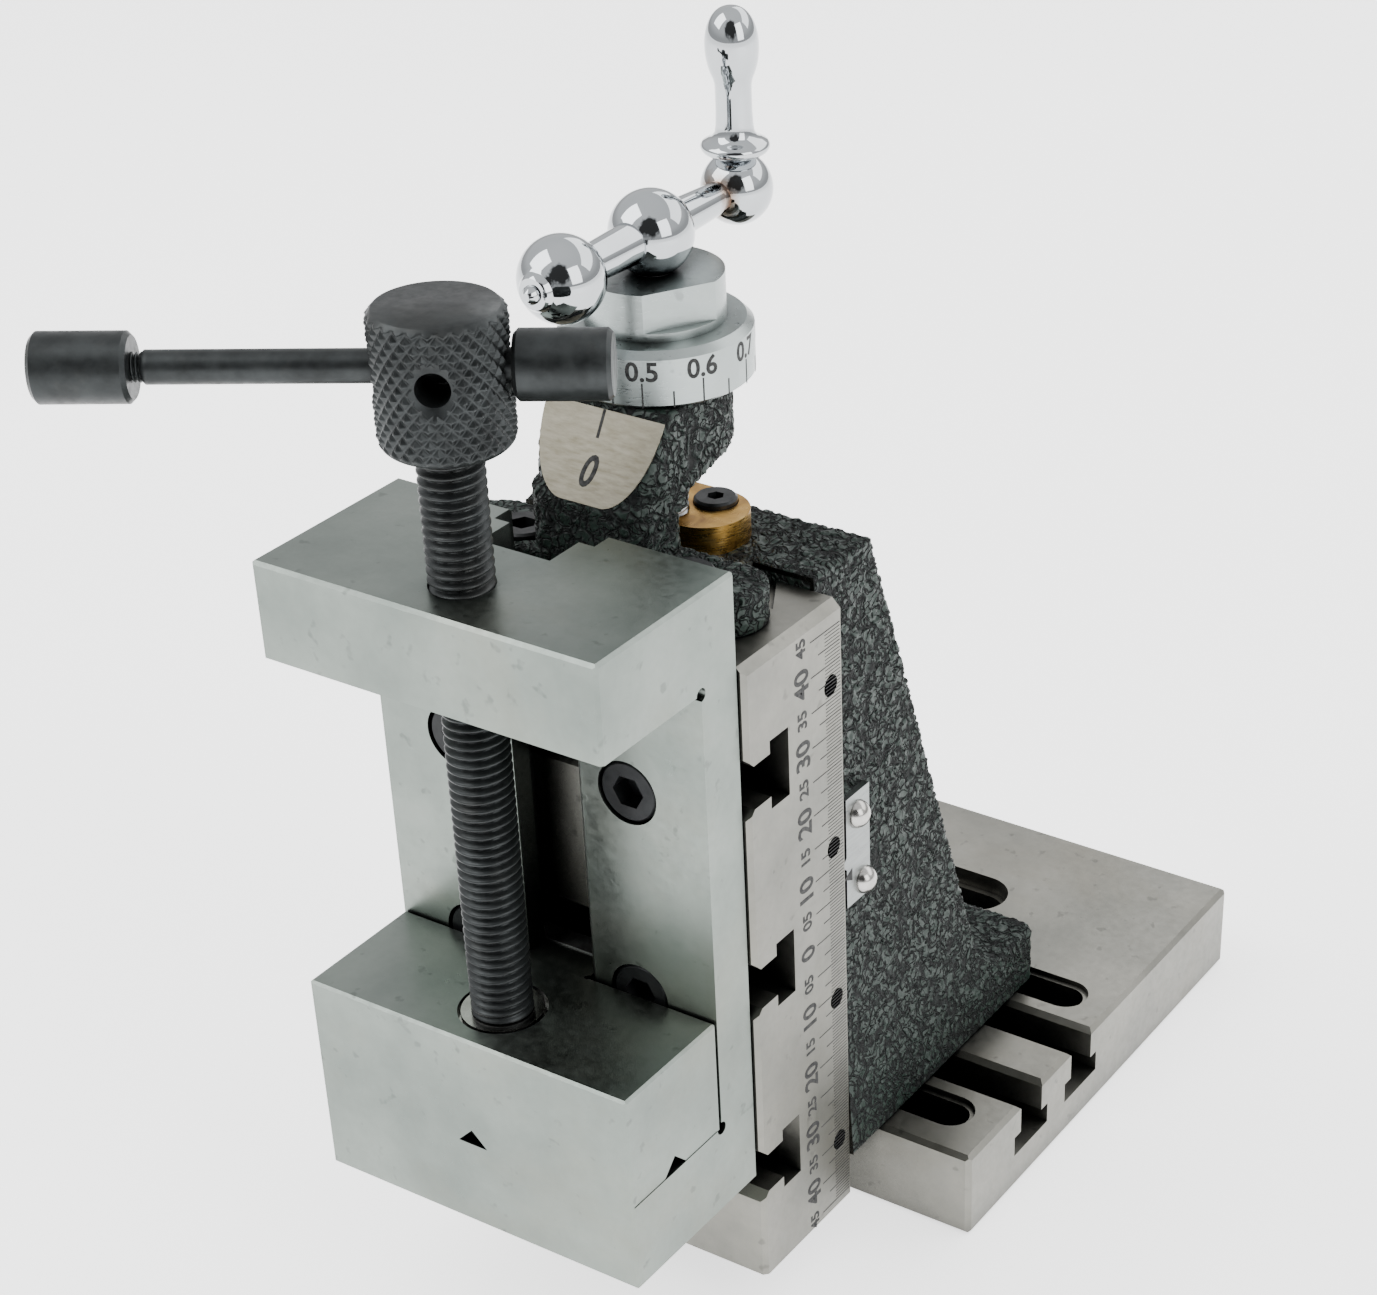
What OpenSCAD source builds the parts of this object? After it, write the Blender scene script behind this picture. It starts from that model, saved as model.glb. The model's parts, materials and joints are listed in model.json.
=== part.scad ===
// Vertical milling slide with a small toolmaker's vice.
// A slotted base plate carries an angle casting. A dovetailed slide table climbs the front
// of the casting on a feed screw, which a three-ball crank turns one millimetre a turn.
// A screw vice is bolted to the T-slots of the slide table.
// Origin: centre of the underside of the base plate. +X is the scale side, +Y is the rear.

/* [Base plate] */
// Width of the base plate, side to side
plate_w = 83; // [78:0.5:100]
// Depth of the base plate, front to rear
plate_d = 81.4; // [80:0.2:100]
// Thickness of the base plate
plate_t = 14; // [13:0.5:16]
// Width of the mouth of every T-slot
tee_neck = 6.1; // [5.5:0.1:6.5]
// Width of the undercut of every T-slot
tee_wide = 9.7; // [9:0.1:10.5]
// Distance between the two T-slots in the base plate
plate_tee_pitch = 15; // [14:0.5:16]
// Distance between the front and rear rows of bolt slots
bolt_row_pitch = 34; // [33:0.5:36]
// Distance between the left and right bolt slots, centre to centre
bolt_span = 57.5; // [56:0.5:60]
// Width of the bolt slots
bolt_slot_w = 5.5; // [5:0.1:6]

/* [Angle casting] */
// Height of the top of the casting above the table
cast_top = 103.1; // [100:0.1:104]
// Width of the casting where it stands on the plate
cast_w_low = 54.2; // [50:0.2:56]
// Width of the casting at its top
cast_w_high = 45; // [40:0.2:48]
// Height of the foot behind the web
foot_h = 8.7; // [6:0.1:12]

/* [Slide table] */
// Width of the slide table
slide_w = 53; // [50:0.5:56]
// Thickness of the slide table, front to rear
slide_t = 21.3; // [20:0.1:24]
// Height of the slide table
slide_h = 94.2; // [90:0.2:100]
// Height of the bottom of the slide table above the machine, as shown
slide_z = 7.2; // [6.5:0.1:20]
// Distance between the T-slots of the slide table
slide_tee_pitch = 30; // [28:0.5:31]
// Thickness of the gib strip
gib_t = 3; // [2:0.1:3.5]

/* [Feed screw] */
// Diameter of the feed screw, which climbs one millimetre a turn
feed_d = 6; // [5:0.5:7]
// Diameter of the graduated dial
dial_d = 24.2; // [20:0.2:26]
// Height of the graduated dial
dial_h = 7; // [5:0.5:8]
// Distance from the feed axis to the front ball of the crank
crank_r = 17.8; // [16:0.2:19]
// Distance from the feed axis to the handle
handle_r = 18.3; // [16:0.1:20]

/* [Vice] */
// Width of the vice
vice_w = 50.6; // [46:0.2:52]
// Depth of the vice, front to rear
vice_d = 27.1; // [26:0.1:30]
// Height of the vice
vice_h = 90; // [88:0.5:92]
// Thickness of the back plate of the vice
vice_back_t = 7.7; // [7:0.1:9]
// Thickness of the top bridge of the vice, which the screw threads through
bridge_t = 12.9; // [11:0.1:14]
// Height of the fixed jaw
fixed_jaw_h = 13.2; // [11:0.1:14]
// Height of the moving jaw
moving_jaw_h = 16.6; // [15:0.1:18]
// Diameter of the vice screw
vice_screw_d = 8; // [6:0.5:8]
// Diameter of the knurled head
head_d = 16; // [14:0.2:17]
// Height of the knurled head
head_h = 16.7; // [14:0.1:18]
// Diameter of the tommy bar
bar_d = 3.9; // [3:0.1:4.5]
// Direction of the tommy bar, in degrees from +X
bar_angle = 31.7; // [25:0.1:35]

/* [Hidden] */
$fn = 64;

// Fits
run_gap = 0.05;
big = 300;

// Base plate places
plate_front = -plate_d / 2;
plate_tee_y = -15.4;
tee_neck_depth = 4.9;
tee_undercut_h = 3.3;
bolt_slot_y = plate_tee_y;
bolt_slot_run = 9.5;
rear_slot_y = 18.85;
rear_slot_half = 8;
plate_screw_x = 12;
plate_screw_ys = [-34, plate_tee_y];

// Slide table places: the rear face of the table slides on the front of the casting
slide_rear = plate_front - 7.7;
slide_front = slide_rear - slide_t;
slide_mid = slide_z + slide_h / 2;
slide_top = slide_z + slide_h;
slide_tee_wide_depth = 4.1;
dove_depth = 6.6;
dove_root = 13.5;
dove_slope = tan(30);
gib_offset = gib_t / cos(30) + 2 * run_gap;
gib_screw_y = slide_rear - 2.5;
gib_screw_zs = [for (i = [-1.5:1:1.5]) slide_mid + 24 * i];
gib_screw_r = 1.5;

// Casting places
cast_front = slide_rear + 0.1;
cast_foot_rear = plate_front + 44.6;
cast_rear_top = cast_front + 13.2;
cast_slope = 0.29;

// Feed axis
feed_y = slide_rear + 0.5;
feed_r = feed_d / 2;
feed_low = 48;
nut_flange_t = 3.9;
nut_body_r = 5;
nut_body_low = cast_top - 14;
nut_flange_y = feed_y + 2.7;
nut_screw_x = 4.2;
nut_screw_y = feed_y + 5.1;
head_top_z = 125.7;
dial_z = head_top_z + 0.3;
hub_z = dial_z + dial_h;
hub_r = 8.75;
hub_top = hub_z + 5.9;
crank_z = hub_top + 4.7;
ball_r = 5.3;
small_ball_r = 4.6;
collar_r = 5;
collar_top = 119.4;
spigot_r = 2.5;

// Screw bracket
lug_y = slide_rear - 11.8;
lug_r = 5.1;
lug_x = 17.6;
lug_t = 5.2;
bracket_screw_x = 12.6;
bracket_screw_y = lug_y - 0.9;
bracket_head_r = 8.9;
post_half = 8.6;

// Vice places
vice_x = 0.4;
vice_rear = slide_front;
vice_front = vice_rear - vice_d;
vice_chamfer = 0.45;
vice_z = slide_mid - 30;
vice_top = vice_z + vice_h;
vice_face = vice_rear - vice_back_t;
jaw_z = vice_z + fixed_jaw_h;
jaw_top = jaw_z + moving_jaw_h;
bridge_z = vice_top - bridge_t;
vice_screw_y = vice_front + 8.25;
vice_screw_r = vice_screw_d / 2;
guide_half = 5.2;
recess_half = 7.5;
recess_t = 3.3;
mount_x = 13.4;
mount_zs = [slide_mid, slide_mid + slide_tee_pitch];
mount_head_r = 4.15;
mount_screw_r = 2.5;
neck_r = 3.5;
pocket_r = 5.8;
pocket_depth = 7.1;
ring_t = 2.2;
retainer_z = jaw_z + 8;
retainer_front = vice_rear - recess_t + run_gap;

// Knurled head and tommy bar
head_z = 131.7;
bar_z = head_z + 9.6;
bar_r = bar_d / 2;
cap_r = 4.05;
cap_l = 11;
cap_gap = 0.2;
bar_reach = 34.2;
thread_neck = 1.1;

// A box with every edge chamfered, from its lowest to its highest corner
module chamfered_box(lo, hi, c) {
    size = hi - lo;
    translate(lo) intersection() {
        linear_extrude(size[2]) clipped_rectangle(size[0], size[1], c);
        translate([0, size[1], 0]) rotate([90, 0, 0])
            linear_extrude(size[1]) clipped_rectangle(size[0], size[2], c);
        rotate([90, 0, 90]) linear_extrude(size[0]) clipped_rectangle(size[1], size[2], c);
    }
}

// A rectangle with its four corners cut at 45 degrees
module clipped_rectangle(w, h, c) {
    polygon([[c, 0], [w - c, 0], [w, c], [w, h - c], [w - c, h], [c, h], [0, h - c], [0, c]]);
}

// A flat outline with round ends, along X, centred
module stadium(half, r) {
    translate([-half, -r]) square([2 * half, 2 * r]);
    for (side = [-1, 1]) translate([side * half, 0]) circle(r);
}

// A rectangle with round corners, centred
module rounded_rectangle(w, h, r) {
    square([w - 2 * r, h], center = true);
    square([w, h - 2 * r], center = true);
    for (x = [-1, 1], y = [-1, 1]) translate([x * (w / 2 - r), y * (h / 2 - r)]) circle(r);
}

// The cross-section of a T-slot that opens at y = 0 and runs down to -y, with a chamfered mouth
module tee_section(wide_depth, mouth) {
    neck = tee_neck / 2;
    translate([-neck, -tee_neck_depth]) square([tee_neck, tee_neck_depth + 1]);
    translate([-tee_wide / 2, -tee_neck_depth - wide_depth]) square([tee_wide, wide_depth]);
    polygon([[-neck, -mouth], [neck, -mouth], [neck + 2 * mouth, mouth], [-neck - 2 * mouth, mouth]]);
}

// A socket head screw that points down, with the underside of its head at z = 0
module socket_screw(head_r, head_h, shank_r, length, key) {
    difference() {
        union() {
            cylinder(h = head_h - 0.3, r = head_r);
            translate([0, 0, head_h - 0.3]) cylinder(h = 0.3, r1 = head_r, r2 = head_r - 0.3);
            translate([0, 0, -length]) cylinder(h = length, r = shank_r);
        }
        translate([0, 0, head_h * 0.45]) cylinder(h = head_h, r = key / 2 / cos(30), $fn = 6);
    }
}

// A hole for a socket screw, with its counterbore above z = 0
module screw_hole(bore_r, shank_r, length, over = 20) {
    cylinder(h = over, r = bore_r);
    translate([0, 0, -length]) cylinder(h = length + 1, r = shank_r);
}

module base_plate() {
    color("darkgray") difference() {
        chamfered_box([-plate_w / 2, plate_front, 0], [plate_w / 2, -plate_front, plate_t], 0.7);
        for (side = [-1, 1]) {
            translate([-big / 2, plate_tee_y + side * plate_tee_pitch / 2, plate_t])
                rotate([90, 0, 90])
                linear_extrude(big) tee_section(tee_undercut_h, 0.8);
            for (row = [-1, 1])
                translate([side * bolt_span / 2, bolt_slot_y + row * bolt_row_pitch / 2, 0])
                bolt_slot();
        }
        translate([0, rear_slot_y, 0]) {
            translate([0, 0, -1]) linear_extrude(plate_t + 2) stadium(rear_slot_half, 4.1);
            translate([0, 0, plate_t - 3]) linear_extrude(6) stadium(rear_slot_half, 5);
        }
        plate_screw_places() rotate([180, 0, 0]) screw_hole(3.8, 2.2, big);
    }
}

// A bolt slot along X, with a shallow rebate round its mouth
module bolt_slot() {
    translate([0, 0, -1]) linear_extrude(plate_t + 2) stadium(bolt_slot_run / 2, bolt_slot_w / 2);
    translate([0, 0, plate_t - 0.8]) linear_extrude(2)
        stadium(bolt_slot_run / 2, bolt_slot_w / 2 + 0.8);
}

// The screws that hold the casting come up through the plate from below
module plate_screw_places() {
    for (x = [-plate_screw_x, plate_screw_x], y = plate_screw_ys) translate([x, y, 4.4]) children();
}

module base_plate_screws() {
    color("dimgray") plate_screw_places() rotate([180, 0, 0]) socket_screw(3.5, 4, 2, 16, 3);
}

module angle_casting() {
    draft_h = cast_top - plate_t;
    web_foot = cast_rear_top + cast_slope * draft_h;
    color("darkslategray") difference() {
        union() {
            intersection() {
                rotate([90, 0, 90]) translate([0, 0, -big / 2]) linear_extrude(big) casting_side(web_foot);
                rotate([90, 0, 0]) translate([0, plate_t, -big / 2]) linear_extrude(big)
                    polygon([
                        [-cast_w_low / 2, 0], [cast_w_low / 2, 0],
                        [cast_w_high / 2, draft_h], [-cast_w_high / 2, draft_h]
                    ]);
                translate([0, (cast_front + cast_foot_rear) / 2, 0]) linear_extrude(big)
                    casting_plan(cast_foot_rear - cast_front);
            }
            translate([0, 0, plate_t]) linear_extrude(draft_h) male_dovetail();
            pointer_pad();
        }
        translate([0, feed_y, nut_body_low]) cylinder(h = 30, r = nut_body_r);
        translate([0, feed_y, 0]) cylinder(h = cast_top, r = feed_r + 0.7);
        for (side = [-1, 1])
            translate([side * nut_screw_x, nut_screw_y, cast_top - 11]) cylinder(h = 12, r = 1.55);
        plate_screw_places() cylinder(h = 18, r = 2.05);
        pointer_holes();
    }
}

// Side view of the casting: an upright web that leans back, on a low foot, with a fillet
module casting_side(web_foot) {
    fillet = 9;
    foot_top = plate_t + foot_h;
    lean = atan(cast_slope);
    corner = web_foot - cast_slope * foot_h;
    reach = fillet / tan((90 + lean) / 2);
    centre = [corner + fillet * tan((90 - lean) / 2), foot_top + fillet];
    polygon([
        [cast_front, plate_t], [web_foot, plate_t],
        [cast_rear_top, cast_top], [cast_front, cast_top]
    ]);
    translate([cast_front, plate_t]) square([cast_foot_rear - cast_front, foot_h]);
    difference() {
        polygon([
            [corner, foot_top - 1], [corner, foot_top],
            [corner - cast_slope * fillet, foot_top + fillet * 0.75],
            centre, [centre[0], foot_top - 1]
        ]);
        translate(centre) circle(fillet);
    }
}

// Plan view of the casting: square in front, with rounded corners at the rear of the foot
module casting_plan(depth) {
    rear_r = 3;
    translate([-cast_w_low / 2, -depth / 2]) square([cast_w_low, depth - rear_r]);
    translate([0, depth / 2 - rear_r]) stadium(cast_w_low / 2 - rear_r, rear_r);
}

// The dovetail that the slide table climbs
module male_dovetail() {
    front = slide_rear - dove_depth + 0.3;
    half = dove_root + dove_slope * (slide_rear - front);
    polygon([
        [-dove_root, cast_front + 1], [-dove_root, slide_rear], [-half, front],
        [half, front], [dove_root, slide_rear], [dove_root, cast_front + 1]
    ]);
}

// A pad on the right side of the casting carries the pointer plate
pointer_x = cast_w_low / 2 - 2.1;
pointer_z = [slide_mid + 0.1, slide_mid + 16.9];
pointer_y = [cast_front + 0.2, cast_front + 6.9];
pointer_t = 1;
pointer_screws_yz = [
    [cast_front + 4, pointer_z[1] - 3.4],
    [cast_front + 5.4, pointer_z[0] + 2.4]
];

module pointer_pad() {
    translate([pointer_x - 5, pointer_y[0], pointer_z[0]])
        cube([5, pointer_y[1] - pointer_y[0], pointer_z[1] - pointer_z[0]]);
}

module pointer_holes() {
    translate([pointer_x, cast_front - 1, pointer_z[0] - 0.4])
        cube([10, pointer_y[1] - cast_front + 1.4, pointer_z[1] - pointer_z[0] + 0.8]);
    for (p = pointer_screws_yz) translate([pointer_x - 5, p[0], p[1]]) rotate([0, 90, 0])
        cylinder(h = 6, r = 1.05);
}

module pointer_plate() {
    tip_z = slide_mid + 7.1;
    neck = 1;
    color("silver") difference() {
        translate([pointer_x, 0, 0]) rotate([90, 0, 90]) linear_extrude(pointer_t) polygon([
            [pointer_y[0] + neck, pointer_z[0]], [pointer_y[1], pointer_z[0]],
            [pointer_y[1], pointer_z[1]], [pointer_y[0] + neck, pointer_z[1]],
            [pointer_y[0] + neck, tip_z + neck], [pointer_y[0], tip_z], [pointer_y[0] + neck, tip_z - neck]
        ]);
        for (p = pointer_screws_yz) translate([pointer_x - 1, p[0], p[1]]) rotate([0, 90, 0])
            cylinder(h = 6, r = 1.1);
    }
}

module pointer_screws() {
    head_r = 2;
    color("gainsboro") for (p = pointer_screws_yz)
        translate([pointer_x + pointer_t, p[0], p[1]]) rotate([0, 90, 0]) {
            rotate_extrude() intersection() {
                translate([0, -0.3]) circle(head_r + 0.03);
                square([head_r, head_r]);
            }
            translate([0, 0, -5.5]) cylinder(h = 5.5, r = 1);
        }
}

module feed_nut() {
    color("darkgoldenrod") difference() {
        union() {
            translate([0, nut_flange_y, cast_top]) linear_extrude(nut_flange_t) stadium(4.2, 5.8);
            translate([0, feed_y, cast_top]) cylinder(h = nut_flange_t, r = 4.8);
            translate([0, feed_y, nut_body_low]) cylinder(h = cast_top - nut_body_low, r = nut_body_r);
        }
        translate([0, feed_y, 0]) cylinder(h = big, r = feed_r + run_gap);
        nut_screw_places() screw_hole(2.95, 1.6, 10);
    }
}

module nut_screw_places() {
    for (side = [-1, 1])
        translate([side * nut_screw_x, nut_screw_y, cast_top + nut_flange_t - 1.6]) children();
}

module feed_nut_screws() {
    color("dimgray") nut_screw_places() socket_screw(2.85, 2.4, 1.5, 11, 2);
}

module slide_table() {
    half = slide_w / 2;
    front_cut = 0.6;
    top_cut = 1.2;
    color("lightgray") difference() {
        intersection() {
            translate([0, 0, slide_z]) linear_extrude(slide_h) polygon([
                [-half, slide_rear], [-half, slide_front + front_cut],
                [-half + front_cut, slide_front], [half - front_cut, slide_front],
                [half, slide_front + front_cut], [half, slide_rear]
            ]);
            translate([0, 0, slide_top]) rotate([90, 0, 0]) translate([0, 0, -big / 2])
                linear_extrude(big) polygon([
                    [-half, -slide_h], [half, -slide_h], [half, -top_cut],
                    [half - top_cut, 0], [top_cut - half, 0], [-half, -top_cut]
                ]);
        }
        translate([0, 0, slide_z - 1]) linear_extrude(slide_h + 2) polygon([
            [-dove_half(0) - run_gap / cos(30), slide_rear + 1],
            [-dove_half(0) - run_gap / cos(30), slide_rear],
            [-dove_half(dove_depth) - run_gap / cos(30), slide_rear - dove_depth],
            [dove_half(dove_depth) + gib_offset, slide_rear - dove_depth],
            [dove_half(0) + gib_offset, slide_rear],
            [dove_half(0) + gib_offset, slide_rear + 1]
        ]);
        for (i = [-1:1]) translate([-big / 2, slide_front, slide_mid + i * slide_tee_pitch])
            rotate([0, 90, 0]) rotate([0, 0, 180])
            linear_extrude(big) tee_section(slide_tee_wide_depth, 1.3);
        gib_screw_places() cylinder(h = 12, r = gib_screw_r);
        for (side = [-1, 1])
            translate([side * bracket_screw_x, bracket_screw_y, slide_top - 11]) cylinder(h = 12, r = 2.05);
    }
}

// Half width of the male dovetail at a depth in front of the rear face of the slide table
function dove_half(depth) = dove_root + dove_slope * depth;

module gib_screw_places() {
    for (z = gib_screw_zs) translate([dove_half(0) + gib_offset - 0.1, gib_screw_y, z])
        rotate([0, 90, 0]) children();
}

module gib_strip() {
    inner = run_gap / cos(30);
    color("gray") difference() {
        translate([0, 0, slide_z + 0.5]) linear_extrude(slide_h - 1) polygon([
            [dove_half(0.3) + inner, slide_rear - 0.3],
            [dove_half(dove_depth - 0.3) + inner, slide_rear - dove_depth + 0.3],
            [dove_half(dove_depth - 0.3) + gib_offset, slide_rear - dove_depth + 0.3],
            [dove_half(0.3) + gib_offset, slide_rear - 0.3]
        ]);
        gib_screw_places() cylinder(h = 12, r = gib_screw_r);
    }
}

module gib_screws() {
    color("dimgray") gib_screw_places() difference() {
        cylinder(h = 7.6, r = gib_screw_r - run_gap);
        translate([0, 0, 5.5]) cylinder(h = 3, r = 0.85, $fn = 6);
    }
}

module screw_bracket() {
    post_rear = lug_y + lug_r;
    post_front = lug_y - lug_r;
    underside = 114.5;
    color("darkslategray") difference() {
        union() {
            translate([0, lug_y, slide_top]) linear_extrude(lug_t) stadium(lug_x, lug_r);
            intersection() {
                bracket_profile(post_front, post_rear, underside);
                translate([0, lug_y, slide_top]) linear_extrude(underside + 1 - slide_top)
                    rounded_rectangle(2 * post_half, 2 * lug_r, 3);
            }
            intersection() {
                bracket_profile(post_front, post_rear, underside);
                translate([0, 0, underside - 2]) linear_extrude(30) bracket_head_plan(post_front);
            }
        }
        translate([0, feed_y, slide_top]) cylinder(h = 40, r = feed_r + run_gap);
        translate([0, feed_y, slide_top]) cylinder(h = collar_top - slide_top, r = collar_r + run_gap);
        bracket_screw_places() screw_hole(3.65, 2.1, 10);
    }
}

// Plan view of the head of the bracket: round behind, with two rounded corners in front
module bracket_head_plan(front) {
    corner = 6;
    translate([0, feed_y]) circle(bracket_head_r);
    translate([-bracket_head_r, front + corner])
        square([2 * bracket_head_r, feed_y - front - corner]);
    translate([0, front + corner]) stadium(bracket_head_r - corner, corner);
}

// Side view of the post and head of the bracket, with a sloping face for the index mark
module bracket_profile(post_front, post_rear, underside) {
    rear = feed_y + bracket_head_r;
    rotate([90, 0, 90]) translate([0, 0, -big / 2]) linear_extrude(big) polygon([
        [post_front, slide_top], [post_front, underside + 0.2],
        [post_front + 6.3, head_top_z - 0.9], [post_front + 6.8, head_top_z],
        [rear, head_top_z], [rear, underside + 3.8],
        [post_rear, underside], [post_rear, slide_top]
    ]);
}

module bracket_screw_places() {
    for (side = [-1, 1])
        translate([side * bracket_screw_x, bracket_screw_y, slide_top + 2]) children();
}

module screw_bracket_screws() {
    color("dimgray") bracket_screw_places() socket_screw(3.5, 4, 2, 12, 3);
}

module vice_body() {
    color("lightsteelblue") difference() {
        vice_blank();
        translate([vice_x - guide_half, vice_face - 1.3, jaw_z - 3.5])
            cube([2 * guide_half, 20, big]);
        translate([vice_x - recess_half, vice_rear - recess_t, jaw_z - 3.5])
            cube([2 * recess_half, 20, big]);
        translate([vice_x, vice_screw_y, jaw_z]) cylinder(h = big, r = vice_screw_r + run_gap);
        translate([vice_x, vice_face, jaw_z - 3.5]) linear_extrude(bridge_z - jaw_z + 3.5) polygon([
            [-guide_half - 2.2, -1], [guide_half + 2.2, -1], [guide_half, 1.2], [-guide_half, 1.2]
        ]);
        for (z = [jaw_z, bridge_z]) translate([-big / 2, vice_face, z]) rotate([0, 90, 0])
            cylinder(h = big, r = 0.9);
        mount_places() screw_hole(mount_head_r + 0.25, mount_screw_r + 0.1, big);
    }
}

// The vice body is cut from one block: bridge on top, back plate, fixed jaw at the bottom
module vice_blank() {
    difference() {
        chamfered_box(
            [vice_x - vice_w / 2, vice_front, vice_z],
            [vice_x + vice_w / 2, vice_rear, vice_top], vice_chamfer
        );
        translate([-big / 2, vice_face - big, jaw_z]) cube([big, big, bridge_z - jaw_z]);
    }
}

// The mounting screws point back, into the T-slots of the slide table
module mount_places() {
    for (side = [-1, 1], z = mount_zs)
        translate([vice_x + side * mount_x, vice_face + 5.2, z]) rotate([90, 0, 0]) children();
}

module vice_mount_screws() {
    color("dimgray") mount_places() socket_screw(mount_head_r, 5, mount_screw_r, 11.4, 4);
}

module vice_t_nuts() {
    nut_half = 5;
    slack = 0.15;
    bottom = slide_front + tee_neck_depth;
    color("dimgray") difference() {
        for (side = [-1, 1], z = mount_zs) translate([vice_x + side * mount_x - nut_half, 0, z]) {
            translate([0, slide_front + 0.3, -tee_neck / 2 + slack])
                cube([2 * nut_half, tee_neck_depth, tee_neck - 2 * slack]);
            translate([0, bottom, -tee_wide / 2 + slack])
                cube([2 * nut_half, slide_tee_wide_depth - slack, tee_wide - 2 * slack]);
        }
        mount_places() screw_hole(0.1, mount_screw_r + run_gap, big, 0.1);
    }
}

module feed_screw() {
    color("lightslategray") translate([0, feed_y, 0]) {
        translate([0, 0, feed_low]) cylinder(h = head_top_z + 0.5 - feed_low, r = feed_r);
        translate([0, 0, collar_top - 2.6]) cylinder(h = 2.6 - run_gap, r = collar_r);
        translate([0, 0, head_top_z]) cylinder(h = crank_z - head_top_z, r = spigot_r);
    }
}

module graduated_dial() {
    r = dial_d / 2;
    bevel = 0.9;
    color("gainsboro") translate([0, feed_y, dial_z]) rotate_extrude() polygon([
        [6, 0], [r - 0.3, 0], [r, 0.3], [r, dial_h - bevel],
        [r - bevel, dial_h], [6, dial_h]
    ]);
}

module dial_hub() {
    flat_x = 7.3;
    flat_turn = -30;
    color("silver") translate([0, feed_y, 0]) difference() {
        union() {
            translate([0, 0, dial_z + 0.2]) cylinder(h = dial_h, r = 6 - run_gap);
            translate([0, 0, hub_z]) cylinder(h = 1.1, r = hub_r);
            intersection() {
                translate([0, 0, hub_z]) cylinder(h = hub_top - hub_z, r = hub_r);
                rotate(flat_turn) translate([-flat_x, -hub_r, hub_z])
                    cube([2 * flat_x, 2 * hub_r, hub_top]);
            }
        }
        cylinder(h = big, r = spigot_r + run_gap);
        translate([0, 0, head_top_z]) cylinder(h = 0.8, r = feed_r + 0.2);
    }
}

module crank_arm() {
    pip = 1.5;
    color("whitesmoke") translate([0, feed_y, crank_z]) difference() {
        rotate([90, 0, 0]) rotate_extrude() intersection() {
            union() {
                circle(ball_r);
                translate([0, crank_r]) circle(ball_r);
                translate([0, -handle_r]) circle(small_ball_r);
                polygon([[0, 0], [2.7, 0], [2.2, crank_r], [0, crank_r]]);
                polygon([[0, 0], [0, -handle_r], [2, -handle_r], [2.5, 0]]);
                translate([0, crank_r]) square([1.1, ball_r + pip]);
                translate([0, crank_r]) square([2.4, ball_r + 0.3]);
            }
            translate([0, -big]) square([big, 2 * big]);
        }
        translate([-big / 2, -big / 2, hub_top - crank_z - big]) cube(big);
        translate([0, 0, -ball_r - 1]) cylinder(h = ball_r + 1.2, r = spigot_r + run_gap);
        translate([0, handle_r, 0]) cylinder(h = big, r = 1.55);
        translate([0, handle_r, small_ball_r - 0.3]) cylinder(h = big, r = 4.6);
    }
}

module crank_handle() {
    base_z = crank_z + small_ball_r - 0.3;
    egg_r = 3.35;
    egg_z = 13.6;
    color("whitesmoke") translate([0, feed_y + handle_r, base_z]) rotate_extrude() {
        polygon([
            [0, 0], [3.4, 0], [4.25, 0.7], [4.35, 1.3], [3.8, 1.9], [2.7, 2.4], [2.35, 3.2],
            [2.25, 5], [2.3, 8.6], [2.55, 10], [0, 12]
        ]);
        intersection() {
            translate([0, egg_z]) circle(egg_r);
            square([big, egg_z + 2]);
        }
        polygon([[0, 9.6], [2.35, 9.4], [2.7, 10.8], [egg_r, egg_z], [0, egg_z]]);
        intersection() {
            translate([-1.6, egg_z]) circle(5);
            square([big, big]);
        }
        translate([0, -3.5]) square([1.5, 4]);
    }
}

module moving_jaw() {
    half = vice_w / 2 - 0.1;
    front = vice_face - run_gap;
    vee = 2.3;
    color("lightsteelblue") difference() {
        union() {
            chamfered_box([vice_x - half, vice_front, jaw_z - 2], [vice_x + half, front, jaw_top], 0.35);
            translate([vice_x - guide_half + run_gap, front - 1, jaw_z + 0.2])
                cube([
                    2 * (guide_half - run_gap),
                    retainer_front - front + 1,
                    moving_jaw_h - 0.4
                ]);
        }
        translate([-big / 2, -big, jaw_z - big]) cube(big);
        for (side = [-1, 1]) translate([vice_x + side * guide_half, front, jaw_z - 1])
            cylinder(h = big, r = 0.55);
        translate([vice_x, 0, jaw_z]) rotate([90, 45, 0])
            translate([0, 0, -big / 2]) linear_extrude(big) square(vee * sqrt(2), center = true);
        translate([0, vice_screw_y + 1, jaw_z]) rotate([0, 90, 0]) rotate([0, 0, 45])
            translate([0, 0, -big / 2]) linear_extrude(big) square(vee * sqrt(2), center = true);
        translate([vice_x, vice_screw_y, jaw_top - pocket_depth]) cylinder(h = 10, r = pocket_r);
        translate([vice_x, vice_rear, retainer_z]) rotate([90, 0, 0]) cylinder(h = 13, r = 2.05);
    }
}

module jaw_retainer() {
    half = recess_half - 0.1;
    color("lightslategray") difference() {
        translate([vice_x - half, retainer_front, jaw_z + 0.8])
            cube([2 * half, recess_t - run_gap - 0.25, moving_jaw_h - 0.8]);
        retainer_screw_place() {
            translate([0, 0, -0.1]) cylinder(h = 10, r = 2.1);
            translate([0, 0, -0.1]) cylinder(h = 2.1, r1 = 3.95, r2 = 2.1);
        }
    }
}

// The retainer screw is countersunk from the rear and points forward
module retainer_screw_place() {
    translate([vice_x, vice_rear - 0.25, retainer_z]) rotate([90, 0, 0]) children();
}

module jaw_retainer_screw() {
    color("dimgray") retainer_screw_place() difference() {
        union() {
            cylinder(h = 1.8, r1 = 3.8, r2 = 2);
            cylinder(h = 12, r = 2);
        }
        translate([0, 0, -1]) cylinder(h = 2.2, r = 1.3, $fn = 6);
    }
}

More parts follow.
